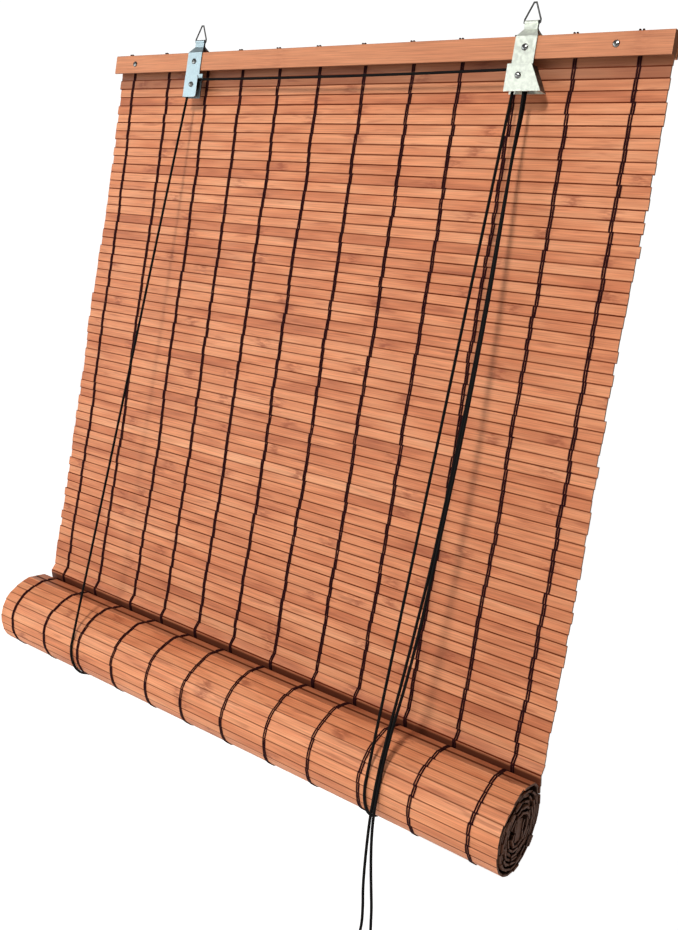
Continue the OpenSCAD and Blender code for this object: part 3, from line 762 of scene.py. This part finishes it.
rng = random.Random(23)
rows_hang = [(np.array([Y_MAT, slat_top(i) + 0.1]), np.array([0.0, -1.0]), np.array([1.0, 0.0])) for i in range(N_ALL)]
s = Soup()
warp_rows(s, rows_hang[1:N_UP], rng, first=1)
for wx in WARPS:
    for sgn in (-1, 1):
        add_ball(s, (wx + 1.3 * sgn + rng.uniform(-0.3, 0.3), -2.4, -25.2), 0.95, 0.0, (1.05, 1.3, 0.9), 0.0, rings=5, sides=8)
o = s.make("upper threads", mat_thread, True)
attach(o, "headrail")
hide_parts("upper_threads")
s = Soup()
warp_rows(s, rows_hang[N_UP:], rng, first=N_UP)
o = s.make("lower threads", mat_thread, True)
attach(o, "headrail")
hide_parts("lower_threads")
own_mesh(o)
s = Soup()
bend_frames = [(np.array(r[0][0]), np.array(r[0][1]), np.array(r[0][2])) for r in bend_rows]
warp_rows(s, bend_frames, rng, first=63)
o = s.make("bend threads", mat_thread, True)
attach(o, "slings")
s = Soup()
warp_rows(s, roll_frames[:N_OUTER + 2], rng, both=False, first=63, lean=True)
o = s.make("roll threads", mat_thread, True)
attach(o, "roll")

# ------------------------------------------------------------------ headrail
rng = random.Random(5)
s = Soup()
# foot=0.95 paints shade along the front batten's lower edge, for the shade in the gap above the first slat
add_bar(s, (-4.5, -26.0), (0.0, -1.0), (1.0, 0.0), 18.5, 8.5, -298.0, 298.0, 900.0, rng, cut=0.8, wob=0.02, crown=0.0, under=2.6, foot=0.95)
o = s.make("front batten", mat_rail)
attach(o, "headrail")
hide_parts("front_batten")
s = Soup()
add_bar(s, (5.6, -26.0), (0.0, -1.0), (1.0, 0.0), 18.5, 3.0, -298.0, 298.0, 902.0, rng, cut=0.5, wob=0.02, crown=0.0)
o = s.make("rear batten", mat_rail)
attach(o, "headrail")
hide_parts("rear_batten")
s = Soup()
# the core strip's number ends in .7: painted shade, 0.7 of the way to the roll's dark shade colour
add_bar(s, (-27.0, -612.0), (0.0, -1.0), (1.0, 0.0), 18.0, 8.0, -301.0, 294.0, 904.7, rng, cut=0.7, wob=0.02, crown=0.0)
o = s.make("core strip", mat_roll)
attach(o, "roll")
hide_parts("bottom_batten")

# ------------------------------------------------------------------ metal pieces: the frame's own shapes, with worn edges
def worn(node, mat, body, width):
    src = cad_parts[node]
    o = bpy.data.objects.new(node + "_sheet", src.data.copy())
    scene.collection.objects.link(o)
    o.data.materials.clear()
    o.data.materials.append(mat)
    b = o.modifiers.new("edge", "BEVEL")
    b.width = width * MM
    b.segments = 2
    b.limit_method = "ANGLE"
    b.angle_limit = math.radians(35)
    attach(o, body)
    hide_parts(node)
    return o


worn("left_bracket", mat_zinc_blue, "headrail", 0.22)
worn("right_bracket", mat_zinc, "headrail", 0.22)
for node, mat in (("batten_screws", mat_steel), ("bracket_screws", mat_steel), ("left_pulley_pin", mat_steel), ("right_pulley_pin", mat_steel),
                  ("left_hanger_ring", mat_wire), ("right_hanger_ring", mat_wire), ("lock_roller", mat_steel), ("left_pulley", mat_plastic), ("right_pulley", mat_plastic)):
    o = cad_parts[node]
    o.data.materials.clear()
    o.data.materials.append(mat)

# ------------------------------------------------------------------ floor, light
m = Nodes("pale floor")
tone = m.noise(m.new("ShaderNodeTexCoord").outputs["Object"], 3.0)
m.link(m.ramp(tone, [(0.3, (0.93, 0.93, 0.93)), (0.7, (0.95, 0.95, 0.95))]), m.bsdf.inputs["Base Color"])
m.surface(0.9, 0.0, 0.1)
# painted light: the floor glows white by itself, 0.8 at the back where it shows behind the blind and 0.10 in front so
# that it lights the roll less
m.bsdf.inputs["Emission Color"].default_value = (1.0, 1.0, 1.0, 1.0)
where = m.new("ShaderNodeSeparateXYZ")
m.link(m.new("ShaderNodeTexCoord").outputs["Object"], where.inputs[0])
m.link(m.span(where.outputs[1], -0.4, 0.8, 0.10, 0.8), m.bsdf.inputs["Emission Strength"])
bpy.ops.mesh.primitive_plane_add(size=24.0, location=(0, 0, -1.45))
floor = bpy.context.object
floor.name = "floor"
floor.data.materials.append(m.mat)

scene.view_settings.view_transform = "Standard"
scene.view_settings.look = "None"
ROOM = 0.17
world = bpy.data.worlds.new("studio")
scene.world = world
world.use_nodes = True
# a bright white backdrop on the wall's side, a dimmer room in front
wt = world.node_tree
bg = wt.nodes["Background"]
wco = wt.nodes.new("ShaderNodeTexCoord")
wdot = wt.nodes.new("ShaderNodeVectorMath")
wdot.operation = "DOT_PRODUCT"
wdot.inputs[1].default_value = (-0.45, 0.88, -0.12)
wt.links.new(wco.outputs["Generated"], wdot.inputs[0])
wmap = wt.nodes.new("ShaderNodeMapRange")
wmap.interpolation_type = "SMOOTHSTEP"
for i, v in enumerate((0.52, 0.80, ROOM, 1.05)):
    wmap.inputs[i + 1].default_value = v
wt.links.new(wdot.outputs["Value"], wmap.inputs[0])
bg.inputs[0].default_value = (1.0, 1.0, 1.0, 1.0)
# the room is darker on the right
wsep = wt.nodes.new("ShaderNodeSeparateXYZ")
wt.links.new(wco.outputs["Generated"], wsep.inputs[0])
wside = wt.nodes.new("ShaderNodeMapRange")
wside.interpolation_type = "SMOOTHSTEP"
for i, v in enumerate((0.05, 0.6, 1.0, 0.15)):
    wside.inputs[i + 1].default_value = v
wt.links.new(wsep.outputs[0], wside.inputs[0])
wmul = wt.nodes.new("ShaderNodeMath")
wmul.operation = "MULTIPLY"
wt.links.new(wmap.outputs[0], wmul.inputs[0])
wt.links.new(wside.outputs[0], wmul.inputs[1])
wt.links.new(wmul.outputs[0], bg.inputs[1])


def lamp(name, loc, aim, size, power, tint=(1, 1, 1)):
    d = bpy.data.lights.new(name, "AREA")
    d.shape = "DISK"
    d.size = size
    d.energy = power
    d.color = tint
    o = bpy.data.objects.new(name, d)
    scene.collection.objects.link(o)
    o.location = loc
    from mathutils import Vector
    o.rotation_euler = (Vector(aim) - Vector(loc)).to_track_quat("-Z", "Y").to_euler()
    return o


lamp("key", (0.6, -5.2, 2.95), (0, 0, -0.3), 1.05, 261.0, (1.0, 0.985, 0.955))
lamp("fill", (-1.35, -1.35, -0.2), (0, 0, -0.4), 1.5, 14.5, (0.93, 1.0, 1.0))
